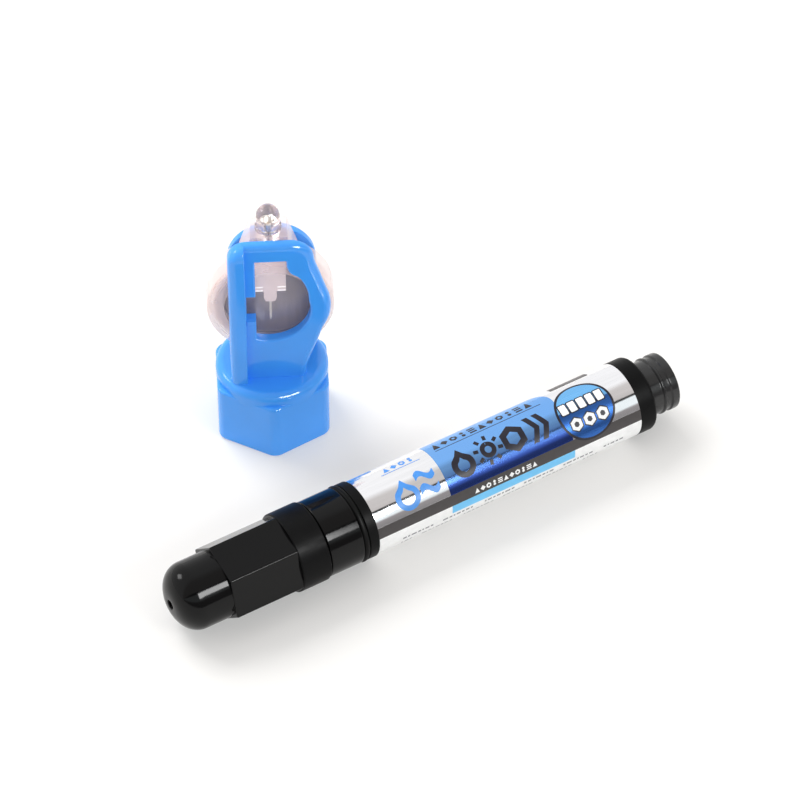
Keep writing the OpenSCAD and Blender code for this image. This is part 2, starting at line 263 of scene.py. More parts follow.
def upright_spin(name, profile, count=128):
    """Closed piece round the light cap's axis from a (radius, height) profile."""
    vertices = [
        (r * turned(a)[0], r * turned(a)[1], z) for r, z in profile for a in circle_angles(count)
    ]
    return new_object(name, vertices, grid_faces(len(profile), count, True), LIGHT_CAP)


def across_spin(name, profile, count=96):
    """Closed piece round the light's own axis from a (depth, radius) profile."""
    vertices = [
        (r * turned(a)[0], y, LIGHT_Z + r * turned(a)[1])
        for y, r in profile
        for a in circle_angles(count)
    ]
    return new_object(name, vertices, grid_faces(len(profile), count, True), LIGHT_CAP)


def stack(name, layers, upright):
    """Closed light-cap piece from (level, outline) layers whose outlines have equal counts.

    Upright outlines are in x and z and stacked by depth, and others in x and y, by height.
    """
    count = len(layers[0][1])
    vertices = [
        (x, level, other) if upright else (x, other, level)
        for level, outline in layers
        for x, other in outline
    ]
    faces = grid_faces(len(layers), count, False)
    faces.append(tuple(range(count)))
    faces.append(tuple((len(layers) - 1) * count + i for i in range(count)))
    return new_object(name, vertices, faces, LIGHT_CAP)


def edge_layers(outline, start, end, start_round, end_round, steps=5):
    """Layers of a plate whose two rims are rounded."""
    layers = []
    for k in range(steps + 1):
        cos, sin = turned(90 * k / steps)
        layers.append((start + start_round * (1 - cos), inset(outline, start_round * (1 - sin))))
    for k in range(steps + 1):
        cos, sin = turned(90 - 90 * k / steps)
        layers.append((end - end_round * (1 - cos), inset(outline, end_round * (1 - sin))))
    return layers


def plate(name, outline, front, back, front_round, back_round):
    """Upright plate in the light cap's frame between depths front and back."""
    layers = edge_layers(outline, front, back, front_round, back_round)
    return stack(name, layers, True)


def block(name, outline, bottom, top, bottom_round, top_round):
    """Standing block in the light cap's frame between two heights."""
    layers = edge_layers(outline, bottom, top, bottom_round, top_round)
    return stack(name, layers, False)


def combine(target, other, operation):
    """Fuses or cuts one solid with another and throws the second away."""
    modifier = target.modifiers.new("Combine", "BOOLEAN")
    modifier.operation = operation
    modifier.solver = "EXACT"
    modifier.object = other
    graph = bpy.context.evaluated_depsgraph_get()
    mesh = bpy.data.meshes.new_from_object(target.evaluated_get(graph))
    target.modifiers.clear()
    target.data = mesh
    bpy.data.objects.remove(other)
    return target


def finish_piece(obj, body, slot, material, *nodes, sharp=30):
    """Smooth shading with true flats, a material, a body and the CAD nodes that the piece replaces."""
    obj.data.shade_smooth()
    obj.data.set_sharp_from_angle(angle=math.radians(sharp))
    normals = obj.modifiers.new("Flat faces stay flat", "WEIGHTED_NORMAL")
    normals.keep_sharp = True
    obj.data.materials.clear()
    obj.data.materials.append(material)
    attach(obj, body)
    if nodes:
        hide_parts(*nodes)


def repaint(obj, material, start=-math.inf, end=math.inf):
    """Another material on a pen piece's faces between two distances from the dome."""
    obj.data.materials.append(material)
    to_pen = PEN.inverted()
    for face in obj.data.polygons:
        if start < (to_pen @ face.center).x / MM < end:
            face.material_index = len(obj.data.materials) - 1


# ---- materials ----

class Shader:
    """A Principled material with short helpers for its procedural detail."""

    def __init__(self, name, **values):
        self.material = bpy.data.materials.new(name)
        self.material.use_nodes = True
        self.tree = self.material.node_tree
        self.main = self.tree.nodes["Principled BSDF"]
        for key, value in values.items():
            socket = key.replace("_", " ").title().replace("Ior", "IOR")
            self.main.inputs[socket].default_value = value

    def node(self, kind, **settings):
        made = self.tree.nodes.new(kind)
        for key, value in settings.items():
            setattr(made, key, value)
        return made

    def link(self, output, target):
        self.tree.links.new(output, target)

    def place(self, stretch=(1, 1, 1)):
        """Object coordinates in metres, stretched per axis."""
        coordinates = self.node("ShaderNodeTexCoord")
        mapping = self.node("ShaderNodeMapping")
        mapping.inputs["Scale"].default_value = stretch
        self.link(coordinates.outputs["Object"], mapping.inputs["Vector"])
        return mapping.outputs["Vector"]

    def noise(self, scale, detail, stretch=(1, 1, 1)):
        noise = self.node("ShaderNodeTexNoise")
        noise.inputs["Scale"].default_value = scale
        noise.inputs["Detail"].default_value = detail
        self.link(self.place(stretch), noise.inputs["Vector"])
        return noise.outputs["Fac"]

    def ranged(self, value, start, end, low=0, high=1):
        """A value that runs from start to end, mapped to run from low to high."""
        node = self.node("ShaderNodeMapRange")
        ends = {"From Min": start, "From Max": end, "To Min": low, "To Max": high}
        for socket, number in ends.items():
            node.inputs[socket].default_value = number
        self.link(value, node.inputs["Value"])
        return node.outputs["Result"]

    def spread(self, value, low, high):
        """Maps the middle of a noise, where nearly all of it lies, to the range from low to high."""
        return self.ranged(value, 0.3, 0.7, low, high)

    def blend(self, share, first, second):
        """Base colour that goes from first to second by a share."""
        mix = self.node("ShaderNodeMix", data_type="RGBA")
        self.link(share, mix.inputs["Factor"])
        mix.inputs["A"].default_value = (*first, 1)
        mix.inputs["B"].default_value = (*second, 1)
        self.link(mix.outputs["Result"], self.main.inputs["Base Color"])

    def tint(self, value, first, second):
        """Colour between two tints, by a noise."""
        self.blend(self.spread(value, 0, 1), first, second)

    def fade(self, first, second, start_mm, end_mm):
        """Painted shade: colour that changes from start_mm to end_mm in front of the pen's axis,
        darkening foil down its front where it reflects dark surroundings.
        """
        parts = self.node("ShaderNodeSeparateXYZ")
        self.link(self.place(), parts.inputs["Vector"])
        axis_y = PEN.translation.y
        share = self.ranged(parts.outputs["Y"], axis_y - start_mm * MM, axis_y - end_mm * MM)
        self.blend(share, first, second)

    def rough(self, value, low, high):
        """Roughness between low and high, by a noise."""
        self.link(self.spread(value, low, high), self.main.inputs["Roughness"])

    def bump(self, value, depth_mm):
        """Relief of a given depth, by a noise."""
        bump = self.node("ShaderNodeBump")
        bump.inputs["Strength"].default_value = 1.0
        bump.inputs["Distance"].default_value = depth_mm * MM
        self.link(value, bump.inputs["Height"])
        self.link(bump.outputs["Normal"], self.main.inputs["Normal"])


def shaded(colour, change):
    """The colour with its brightness changed by a share."""
    return tuple(min(1.0, c * (1 + change)) for c in colour)


def moulded(name, colour, low, high, grain, depth, specular=0.5, vary=0.12):
    """Injection-moulded plastic: faint flow marks in colour and gloss, and a fine grain as bump."""
    shader = Shader(name, specular_ior_level=specular)
    flow = shader.noise(90, 4)
    shader.tint(flow, shaded(colour, -vary), shaded(colour, vary))
    shader.rough(shader.noise(260, 5), low, high)
    shader.bump(shader.noise(grain, 2), depth)
    return shader.material


def foil(name, colour, low, high, waves, front=None):
    """Metal foil with streaks along the pen; with a front colour, it fades to that down its front as
    painted shade, for the dark surroundings that the foil reflects there.
    """
    shader = Shader(name, metallic=1.0)
    streaks = shader.noise(900, 4, (0.06, 1, 1))
    if front:
        # painted shade: the foil darkens to the front colour down its front
        shader.fade(colour, front, start_mm=3.6, end_mm=6.6)
    else:
        shader.tint(streaks, shaded(colour, -0.04), shaded(colour, 0.04))
    shader.rough(streaks, low, high)
    shader.bump(shader.noise(600, 2), waves)
    return shader.material


def ink(name, colour):
    """Screen-printed ink under a clear film."""
    shader = Shader(name, specular_ior_level=0.3, coat_weight=0.2, coat_roughness=0.12)
    shader.tint(shader.noise(700, 4), shaded(colour, -0.05), shaded(colour, 0.05))
    shader.rough(shader.noise(1500, 2), 0.3, 0.42)
    shader.bump(shader.noise(2500, 1), 0.002)
    return shader.material


def metal(name, colour, low, high, stretch, depth=0.004):
    """Bare metal with fine rolling marks."""
    shader = Shader(name, metallic=1.0)
    marks = shader.noise(1500, 4, stretch)
    shader.tint(marks, shaded(colour, -0.12), shaded(colour, 0.08))
    shader.rough(marks, low, high)
    shader.bump(marks, depth)
    return shader.material


def clear_plastic(name, colour, face_on, edge_on, low, high, glow=0.0):
    """Clear moulding, milky where it is seen edge on; glow is painted light, an emission that stands in
    for the light carried inside the plastic.
    """
    shader = Shader(name, emission_color=(*colour, 1), emission_strength=glow)
    cloud = shader.noise(120, 3)
    shader.tint(cloud, shaded(colour, -0.04), shaded(colour, 0.04))
    shader.rough(shader.noise(400, 3), low, high)
    shader.bump(shader.noise(300, 2), 0.003)
    facing = shader.node("ShaderNodeLayerWeight")
    facing.inputs["Blend"].default_value = 0.5
    alpha = shader.ranged(facing.outputs["Facing"], 0, 1, face_on, edge_on)
    shader.link(alpha, shader.main.inputs["Alpha"])
    return shader.material


def lamp_resin(name, colour):
    """Clear casting resin that bends light, with faint flow marks."""
    shader = Shader(name, transmission_weight=0.94, ior=1.47)
    shader.tint(shader.noise(300, 3), shaded(colour, -0.04), shaded(colour, 0.04))
    shader.rough(shader.noise(700, 2), 0.01, 0.03)
    shader.bump(shader.noise(500, 1), 0.002)
    return shader.material


BLACK = (0.002, 0.002, 0.0022)
GLOSS_BLACK = moulded("gloss_black", BLACK, 0.08, 0.13, 500, 0.002, 0.2)
SATIN_BLACK = moulded("satin_black", BLACK, 0.10, 0.15, 2500, 0.003, 0.2)
MATT_BLACK = moulded("matt_black", (0.005, 0.005, 0.0052), 0.34, 0.44, 4200, 0.012, 0.07)
TAIL_BLACK = moulded("tail_black", (0.020, 0.020, 0.0205), 0.12, 0.2, 1500, 0.004, 0.4)
RUBBER = moulded("rubber_black", (0.002, 0.002, 0.002), 0.4, 0.55, 3000, 0.01, 0.12)
BLUE = moulded("holder_blue", (0.058, 0.345, 0.96), 0.07, 0.12, 350, 0.004, 0.5, 0.03)
FOIL = foil("silver_foil", (0.90, 0.90, 0.92), 0.05, 0.10, 0.006)
# Painted shade: the blue foil fades to navy down its front, where it reflects the dark surroundings low
# in front.
BLUE_FOIL = foil("blue_foil", (0.20, 0.45, 0.90), 0.12, 0.16, 0.002, (0.04, 0.08, 0.34))
WHITE_INK = ink("white_ink", (0.92, 0.92, 0.92))
DARK_INK = ink("dark_grey_ink", (0.052, 0.046, 0.046))
PALE_INK = ink("pale_blue_ink", (0.17, 0.57, 0.93))
NAVY_INK = ink("navy_ink", (0.010, 0.009, 0.018))
MID_INK = ink("mid_blue_ink", (0.07, 0.30, 0.80))
GREY_INK = ink("grey_ink", (0.25, 0.25, 0.27))
# Lit and shaded copies of the badge's foil: painted reflection, light above and shade below.
BADGE_FOIL_PAINTED_LIGHT = foil("badge_foil_painted_light", (0.20, 0.52, 0.92), 0.2, 0.3, 0.008)
BADGE_FOIL_PAINTED_SHADE = foil("badge_foil_painted_shade", (0.04, 0.13, 0.42), 0.2, 0.3, 0.008)
# painted light: the clear shells glow faintly
CLEAR = clear_plastic("clear_pink", (0.98, 0.81, 0.78), 0.17, 0.62, 0.10, 0.14, 0.06)
PAD_CLEAR = clear_plastic("clear_pad", (0.80, 0.68, 0.70), 0.03, 0.4, 0.05, 0.1)
# painted light: the guide glows to lift the shade it sits in behind the front plate
GUIDE_CLEAR = clear_plastic("guide_clear", (0.92, 0.80, 0.80), 0.90, 0.97, 0.2, 0.3, 0.14)
# painted highlight: the ledges glow nearly white
LEDGE_CLEAR_PAINTED_HIGHLIGHT = clear_plastic("ledge_clear_painted_highlight", (1.0, 0.97, 0.96), 0.97, 0.99, 0.2, 0.3, 0.5)
RESIN = lamp_resin("lamp_resin", (0.97, 0.89, 0.88))
LEAD_METAL = metal("tinned_lead", (0.80, 0.79, 0.77), 0.2, 0.35, (1, 1, 0.1))
CELL_STEEL = metal("cell_steel", (0.30, 0.30, 0.36), 0.3, 0.36, (1, 1, 0.12), 0.001)
NEEDLE_STEEL = metal("needle_steel", (0.78, 0.78, 0.80), 0.15, 0.3, (0.05, 1, 1))
GOLD = metal("die_gold", (0.95, 0.62, 0.18), 0.2, 0.3, (1, 1, 1))
HUB_WHITE = moulded("hub_white", (0.80, 0.83, 0.82), 0.3, 0.4, 1500, 0.008)
SEAL_GREY = moulded("seal_grey", (0.25, 0.25, 0.24), 0.55, 0.7, 2500, 0.02)
SEAL_DARK = moulded("cell_seal_grey", (0.40, 0.37, 0.37), 0.5, 0.6, 3000, 0.01)
RING_PALE = moulded("ring_pale", (0.86, 0.76, 0.74), 0.3, 0.4, 1200, 0.01)


# ---- pen ----

def hexagon_radius(shrink):
    """Radius of the rounded hexagon, moved inwards by shrink, as a function of angle."""
    flat_share = turned(30)[0]
    reach = HEX_CORNER_R - shrink / flat_share
    core = reach - HEX_CORNER_ROUND / flat_share
    across, out = HEX_CORNER_ROUND * 0.5, core + HEX_CORNER_ROUND * flat_share
    round_end = math.degrees(math.atan2(across, out))

    def size(angle):
        off = abs((angle - HEX_TURN + 30) % 60 - 30)
        if off >= round_end:
            return reach * flat_share / turned(30 - off)[0]
        cos, sin = turned(off)
        return core * cos + math.sqrt(HEX_CORNER_ROUND**2 - (core * sin) ** 2)

    return size


def hexagon_angles():
    """Angles round the cap, close together at the hexagon's corners."""
    corner = [k * 0.36 for k in range(-5, 6)]
    flat = [2.6, 3.6, 5, 7.5, 10, 15, 20, 25, 30, 35, 40, 45, 50, 52.5, 55, 56.4, 57.4]
    return [HEX_TURN + 60 * side + step for side in range(6) for step in corner + flat]


def cap_moulding():
    """Domed nose, hexagonal grip, skirt ring and the hollow inside, as one closed surface."""
    flat_r, flat_x = 1.5, 0.05
    lip = 0.2
    soft = 0.3
    skirt_round, mouth_round = 0.35, 0.25
    bore_end_r = 3
    rings = [(VENT_DEPTH, VENT_R)]
    rings += arc(flat_x + lip, VENT_R + lip, lip, 270, 180, 3)
    for a in range(0, 91, 5):
        cos, sin = turned(a)
        rings.append((flat_x + (DOME_LEN - flat_x) * (1 - cos), flat_r + (NOSE_R - flat_r) * sin))
    rings += [(HEX_X0 - 2, NOSE_R), (HEX_X0 - 0.15, NOSE_R)]
    rings += [(HEX_X0 - 0.05, lambda a: min(NOSE_R + 0.04, hexagon_radius(soft)(a)))]
    for a in range(0, 91, 18):
        cos, sin = turned(a)
        rings.append((HEX_X0 + soft * (1 - cos), hexagon_radius(soft * (1 - sin))))
    rings += [(x, hexagon_radius(0)) for x in (14, 18, 22, HEX_X1 - 0.4, HEX_X1 - 0.02)]
    rings += [(HEX_X1, SKIRT_R - skirt_round)]
    rings += arc(HEX_X1 + skirt_round, SKIRT_R - skirt_round, skirt_round, 180, 90, 5)
    rings += [(31, SKIRT_R)]
    rings += arc(SKIRT_X1 - mouth_round, SKIRT_R - mouth_round, mouth_round, 90, 0, 5)
    rings += [(SKIRT_X1, CAP_BORE_R + lip), (SKIRT_X1 - lip, CAP_BORE_R)]
    rings += [(20, CAP_BORE_R), (CAP_BORE_END + lip, CAP_BORE_R)]
    rings += [(CAP_BORE_END, CAP_BORE_R - lip), (CAP_BORE_END, bore_end_r)]
    rings += [(VENT_DEPTH, bore_end_r)]
    cap = pen_spin("cap_moulding", rings, hexagon_angles())
    finish_piece(cap, "cap", "cap_black", SATIN_BLACK, "cap_shell", sharp=40)
    repaint(cap, GLOSS_BLACK, end=HEX_X0 - 0.1)
    repaint(cap, MATT_BLACK, start=HEX_X1 + 0.01)


def collar_moulding():
    """Glossy sleeve, groove and front ring, with the cap's seat in front and the tube plug behind."""
    seat_r, sleeve_r, groove_r = 6, 8.6, 7.62
    ring_r = radius("neck_collar")
    seat_x0 = SLEEVE_X0 - 6
    plug_x1 = LABEL_X0 + 5
    groove_x0, groove_x1 = O_RING_X0 - 0.05, O_RING_X1 + 0.05
    corners = [
        (seat_x0, PEN_BORE_R, 0.1), (seat_x0, seat_r, 0.4),
        (SLEEVE_X0, seat_r, 0.2), (SLEEVE_X0, sleeve_r, 0.35),
        (groove_x0, sleeve_r, 0.3), (groove_x0, groove_r, 0.1),
        (groove_x1, groove_r, 0.1), (groove_x1, ring_r, 0.25),
        (LABEL_X0, ring_r, 0.25), (LABEL_X0, TUBE_INNER_R, 0.1),
        (plug_x1, TUBE_INNER_R, 0.4), (plug_x1, PEN_BORE_R, 0.1),
    ]
    collar = pen_spin("collar_moulding", rounded(corners))
    finish_piece(collar, "pen", "collar_black", GLOSS_BLACK, "neck_collar")
    repaint(collar, MATT_BLACK, start=O_RING_X1)


def seat_bead():
    """Low round bead on the cap's seat that the cap clicks over."""
    middle = SLEEVE_X0 - 3.4
    flank = [(0.6, 5.9), (0.35, 6.08), (0.12, 6.17)]
    profile = [(middle - x, r) for x, r in flank] + [(middle + x, r) for x, r in reversed(flank)]
    finish_piece(pen_spin("seat_bead", profile), "pen", "collar_black", GLOSS_BLACK)


def o_ring():
    """Rubber band in the collar's groove."""
    floor_r, crown = 7.64, 0.55
    wide = (O_RING_X1 - O_RING_X0) / 2
    middle = (O_RING_X0 + O_RING_X1) / 2
    profile = [(middle + wide, floor_r), (middle - wide, floor_r)]
    profile += arc(middle, O_RING_R - crown, (wide, crown), 180, 0, 16)
    finish_piece(pen_spin("o_ring", profile), "pen", "band_rubber", RUBBER, "collar_o_ring")


def tail_moulding():
    """Tail ring and the spigot with its bead and end flange."""
    ring_r = radius("tail_plug")
    ring_x1 = TAIL_X0 + 4.3
    neck_r, spigot_r, wall_r = 6.15, 6.5, 5.8
    bead_x = ring_x1 + 3.6
    plug_x0, web_x0, dish_x = TAIL_X0 - 6, TAIL_X0 - 1, TAIL_X1 - 1.2
    corners = [
        (plug_x0, wall_r, 0.1), (plug_x0, TUBE_INNER_R, 0.3), (TAIL_X0, TUBE_INNER_R, 0.1),
        (TAIL_X0, ring_r, 0.2), (ring_x1, ring_r, 0.9), (ring_x1, neck_r, 0.3),
        (bead_x - 0.5, neck_r, 0.15), (bead_x - 0.2, spigot_r, 0.1),
        (bead_x + 0.2, spigot_r, 0.1), (bead_x + 0.5, neck_r, 0.15),
        (bead_x + 1.5, neck_r, 0.15), (bead_x + 1.8, spigot_r, 0.1),
        (TAIL_X1, spigot_r, 0.4), (TAIL_X1, 5.2, 0.3), (dish_x, 5.0, 0.3),
        (dish_x, 0.6, 0.2), (dish_x + 0.2, 0.4, 0.1), (dish_x + 0.2, 0, 0),
        (web_x0, 0, 0), (web_x0, wall_r, 0.3),
    ]
    tail = pen_spin("tail_moulding", rounded(corners))
    finish_piece(tail, "pen", "tail_black", TAIL_BLACK, "tail_plug")
    repaint(tail, MATT_BLACK, end=ring_x1 - 0.2)


def label_sleeve():
    """Foil label wrapped round the tube."""
    thick = 0.25
    corners = [
        (LABEL_X0, LABEL_R - thick, 0), (LABEL_X0, LABEL_R, 0.05),
        (LABEL_X1, LABEL_R, 0.05), (LABEL_X1, LABEL_R - thick, 0),
    ]
    sleeve = pen_spin("label_sleeve", rounded(corners, 2), circle_angles(240))
    finish_piece(sleeve, "pen", "foil_label", FOIL, "label_film", sharp=60)


# ---- print on the label: u is the distance from the dome and v the arc length down the label ----

def down(angle):
    """Arc length on the label of an angle in degrees."""
    return math.radians(angle) * LABEL_R


def inside(loops, u, v):
    """True where a point is inside an odd number of loops."""
    hit = False
    for loop in loops:
        for i, (u1, v1) in enumerate(loop):
            u0, v0 = loop[i - 1]
            if (v0 > v) != (v1 > v) and u < u0 + (v - v0) / (v1 - v0) * (u1 - u0):
                hit = not hit
    return hit


def densified(loop, step):
    """The loop with no edge longer than step."""
    points = []
    for i, (u1, v1) in enumerate(loop):
        u0, v0 = loop[i - 1]
        count = max(1, math.ceil(math.hypot(u1 - u0, v1 - v0) / step))
        for k in range(count):
            points.append((u0 + (u1 - u0) * k / count, v0 + (v1 - v0) * k / count))
    return points


def print_points(loops, step):
    """Points and edges of the loops, with an even grid of points inside them."""
    points, edges = [], []
    for loop in loops:
        first = len(points)
        points += loop
        edges += [(first + i, first + (i + 1) % len(loop)) for i in range(len(loop))]
    low_u, high_u = min(p[0] for p in points), max(p[0] for p in points)
    low_v, high_v = min(p[1] for p in points), max(p[1] for p in points)
    columns = math.ceil((high_u - low_u) / (2 * step))
    rows = math.ceil((high_v - low_v) / step)
    for i in range(1, columns):
        for k in range(1, rows):
            u = low_u + (high_u - low_u) * i / columns
            v = low_v + (high_v - low_v) * k / rows
            if inside(loops, u, v):
                points.append((u, v))
    return points, edges


def printed(name, loops, layer, material):
    """Thin print on the label; loops inside loops are holes."""
    step = 0.5
    loops = [densified(loop, step) for loop in loops]
    points, edges = print_points(loops, step)
    found = delaunay_2d_cdt([Vector(p) for p in points], edges, [], 0, 1e-5)
    flat, triangles = found[0], found[2]
    size = LABEL_R + INK_STEP * layer
    vertices, normals = [], []
    for u, v in flat:
        cos, sin = math.cos(v / LABEL_R), math.sin(v / LABEL_R)
        vertices.append(PEN @ (Vector((u, size * cos, size * sin)) * MM))
        normals.append((0, cos, sin))
    faces = []
    for triangle in triangles:
        middle_u = sum(flat[i][0] for i in triangle) / 3
        middle_v = sum(flat[i][1] for i in triangle) / 3
        if inside(loops, middle_u, middle_v):
            faces.append(tuple(reversed(triangle)))
    mesh = bpy.data.meshes.new(name)
    mesh.from_pydata(vertices, [], faces)
    mesh.shade_smooth()
    mesh.normals_split_custom_set_from_vertices(normals)
    mesh.materials.append(material)
    obj = linked(name, mesh)
    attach(obj, "pen")


def round_loop(u, v, size, steps=40):
    """Circle."""
    return arc(u, v, size, 0, 360, steps)[:-1]


def drop_loop(u, v, size):
    """Drop with its point up: v runs down the label."""
    tip = [(u, v - size * 1.45), (u + size * 0.35, v - size * 0.95)]
    return tip + arc(u, v, size, -35, 215, 24) + [(u - size * 0.35, v - size * 0.95)]


def polygon_loop(u, v, size, sides, turn=0):
    """Regular polygon; size is the radius of its corners."""
    return arc(u, v, size, turn, turn + 360, sides)[:-1]


def nut_loops(u, v, size, hole):
    """Hexagon with a hexagonal hole, as a nut is drawn."""
    return [polygon_loop(u, v, reach, 6, 30) for reach in (size, hole)]


def chevron_loop(u, v, wide, high, stroke):
    """Arrow head that points to the tail."""
    return [
        (u, v - high), (u + stroke, v - high), (u + stroke + wide, v), (u + stroke, v + high),
        (u, v + high), (u + wide, v),
    ]


def mark_row(u0, u1, v0, v1, count, fill=0.72):
    """Row of small generic marks: a wedge, twin dots, a diamond, bars and a nut, in turn."""
    pitch = (u1 - u0) / count
    middle = (v0 + v1) / 2
    high = v1 - v0
    loops = []
    for i in range(count):
        wide = pitch * fill
        u = u0 + pitch * i
        centre = u + wide / 2
        size = min(wide, high) / 2
        kind = i * 7 % 5
        if kind == 0:
            loops.append([(u, v1), (centre, v0), (u + wide, v1)])
        elif kind == 1:
            for off in (-0.27, 0.27):
                loops.append(round_loop(centre, middle + high * off, size * 0.55, 12))
        elif kind == 2:
            loops.append(polygon_loop(centre, middle, size * 1.1, 4))
        elif kind == 3:
            for top in (0, 0.38, 0.76):
                loops.append(box_loop(u, u + wide, v0 + high * top, v0 + high * (top + 0.22)))
        else:
            loops += nut_loops(centre, middle, size * 1.15, size * 0.5)
    return loops


def dash_row(u0, u1, v0, v1, shift):
    """Row of fine dashes in groups of seven, as small print looks from afar."""
    lengths = (0.9, 0.5, 1.3, 0.7, 0.4, 1.0, 0.6)
    gap = 0.35
    loops = []
    u, i = u0, shift
    while u < u1:
        length = lengths[i % len(lengths)]
        if i % 9 < 7:
            loops.append(box_loop(u, u + length, v0, v1))
        u += length + gap
        i += 1
    return loops


def sun_loops(u, v, size):
    """Sun: a ring with eight rays."""
    loops = [round_loop(u, v, size * 0.56), round_loop(u, v, size * 0.24)]
    start, end, half = size * 0.7, size * 1.05, size * 0.12
    for k in range(8):
        cos, sin = turned(45 * k + 10)
        loops.append([
            (u + start * cos - half * sin, v + start * sin + half * cos),
            (u + end * cos - half * sin, v + end * sin + half * cos),
            (u + end * cos + half * sin, v + end * sin - half * cos),
            (u + start * cos + half * sin, v + start * sin - half * cos),
        ])
    return loops


def bold_row():
    """Bold generic signs in a row: a drop, a sun, a nut and two arrow heads."""
    middle = down(114)
    loops = [drop_loop(69.6, middle + 0.9, 2.75), drop_loop(69.6, middle + 1.0, 1.35)]
    loops += sun_loops(76.2, middle, 3.3)
    loops += nut_loops(82.6, middle, 3.2, 1.6)
    loops += [chevron_loop(u, middle, 1.5, 3.1, 1.35) for u in (86.3, 88.7)]
    printed("label_bold_row", loops, 2, NAVY_INK)


def outlined_mark():
    """Large outlined drop with two waves beside it."""
    middle = down(PRINT_MIDDLE)
    loops = [drop_loop(55.0, middle + 1.5, 2.9), drop_loop(55.0, middle + 1.6, 1.65)]
    wave_start, wave_length, wave_height, stroke = 58.2, 4.6, 0.75, 1.5
    for angle in (103, 125):
        upper = [
            (wave_start + wave_length * i / 24, down(angle) - wave_height * turned(i * 15)[1])
            for i in range(25)
        ]
        lower = [(u, v + stroke) for u, v in reversed(upper)]
        loops.append(upper + lower)
    printed("label_outlined_mark", loops, 2, MID_INK)


def badge():
    """Round badge with a dark rim and pale generic signs; its foil is painted lighter in the upper half
    and darker in the lower half, as painted reflection of the bright surroundings above and the dark
    ones below.
    """
    u, v, size, rim = 100.5, down(PRINT_MIDDLE), 6.9, 0.55
    split = 10
    border = 0.25
    printed("badge_rim", [round_loop(u, v, size, 72)], 2, NAVY_INK)
    # painted reflection: lit foil in the upper half, painted shade in the lower half
    printed("badge_upper", [arc(u, v, size - rim, 180 + split, 360 - split, 36)], 3, BADGE_FOIL_PAINTED_LIGHT)
    printed("badge_lower", [arc(u, v, size - rim, -split, 180 + split, 36)], 3, BADGE_FOIL_PAINTED_SHADE)
    signs, shades = [], []
    for k in range(5):
        left, top = u - 5.5 + 2.25 * k, v - 2.9
        right, bottom = left + 1.7, top + 2.4
        signs.append(box_loop(left, right, top, bottom, 0.25))
        high, low = top - border, bottom + border
        shades.append(box_loop(left - border, right + border, high, low, 0.4))
    for k in range(3):
        spot = (u - 3.3 + 3.3 * k, v + 2.3)
        signs += nut_loops(*spot, 1.5, 0.65)
        shades.append(polygon_loop(*spot, 1.8, 6, 30))
    printed("badge_shades", shades, 4, NAVY_INK)
    printed("badge_signs", signs, 5, WHITE_INK)


def label_print():
    """Everything printed on the foil."""
    corner = 4.5
    panel = [(PANEL_U0, down(PANEL_TOP))]
    panel += arc(PANEL_U1 - corner, down(PANEL_TOP) + corner, corner, -90, 0, 10)
    panel += [(PANEL_U1, down(STRIPE_TOP)), (PANEL_U0, down(STRIPE_TOP))]
    printed("label_blue_panel", [panel], 1, BLUE_FOIL)
    edge0, edge1 = LABEL_X0 + 0.02, LABEL_X1 - 0.02
    stripe = box_loop(edge0, edge1, down(STRIPE_TOP), down(FIELD_TOP))
    field = box_loop(edge0, edge1, down(FIELD_TOP), down(FIELD_END))
    pale = box_loop(PANEL_U0 - 0.1, PANEL_U1, down(FIELD_TOP), down(FIELD_TOP + 15))
    printed("label_dark_stripe", [stripe], 1, DARK_INK)
    printed("label_white_field", [field], 1, WHITE_INK)
    printed("label_pale_stripe", [pale], 2, PALE_INK)
    printed("label_stripe_marks", mark_row(70, 86, down(160), down(168), 11, 0.8), 2, WHITE_INK)
    upper = mark_row(66, 91.5, down(61), down(76), 11)
    upper.append(box_loop(66, 92.5, down(79.5), down(80.6)))
    printed("label_panel_marks", upper, 2, NAVY_INK)
    left = mark_row(53.5, 61.5, down(66), down(77), 4)
    left.append(box_loop(52.5, 62, down(80), down(81)))
    printed("label_left_marks", left, 2, MID_INK)
    bold_row()
    outlined_mark()
    badge()
    rows = []
    for k in range(9):
        top = FIELD_TOP + 20 + 15 * k
        rows += dash_row(52, 108 - 6 * (k % 3), down(top), down(top + 4), 4 * k)
    printed("label_fine_print", rows, 2, GREY_INK)
    printed("label_top_bar", [box_loop(97, 106.6, down(45), down(60), 0.2)], 2, DARK_INK)
    printed("label_back_tab", [box_loop(edge0, 52, down(48), down(56))], 2, MID_INK)


# ---- light cap ----

def hexagon_outline():
    """Base hexagon with rounded corners and one corner to the front."""
    corner_round = 3
    corners = polygon_loop(0, 0, BASE_AF / 2 / turned(30)[0], 6, 30)
    return rounded([(x, y, corner_round) for x, y in corners], 10)


def front_outline():
    """Front plate: straight top, shoulder, round lobe and waist."""
    points = [(-8.9, PLATE_FOOT), (7.1, PLATE_FOOT), (7.5, LIGHT_Z - 16.8)]
    points += [(8.6, LIGHT_Z - 13), (9.9, LIGHT_Z - 9.3)]
    points += arc(0.3, LIGHT_Z + 1, 12.5, -30, 20, 14)
    points += [(11.4, LIGHT_Z + 7.4), (10.5, PLATE_TOP - 9.2), (9.7, PLATE_TOP - 6.6)]
    points += arc(4.4, PLATE_TOP - 5.2, (5, 5.2), 0, 90, 14)
    return points + arc(-4.9, PLATE_TOP - 4, 4, 90, 180, 12)


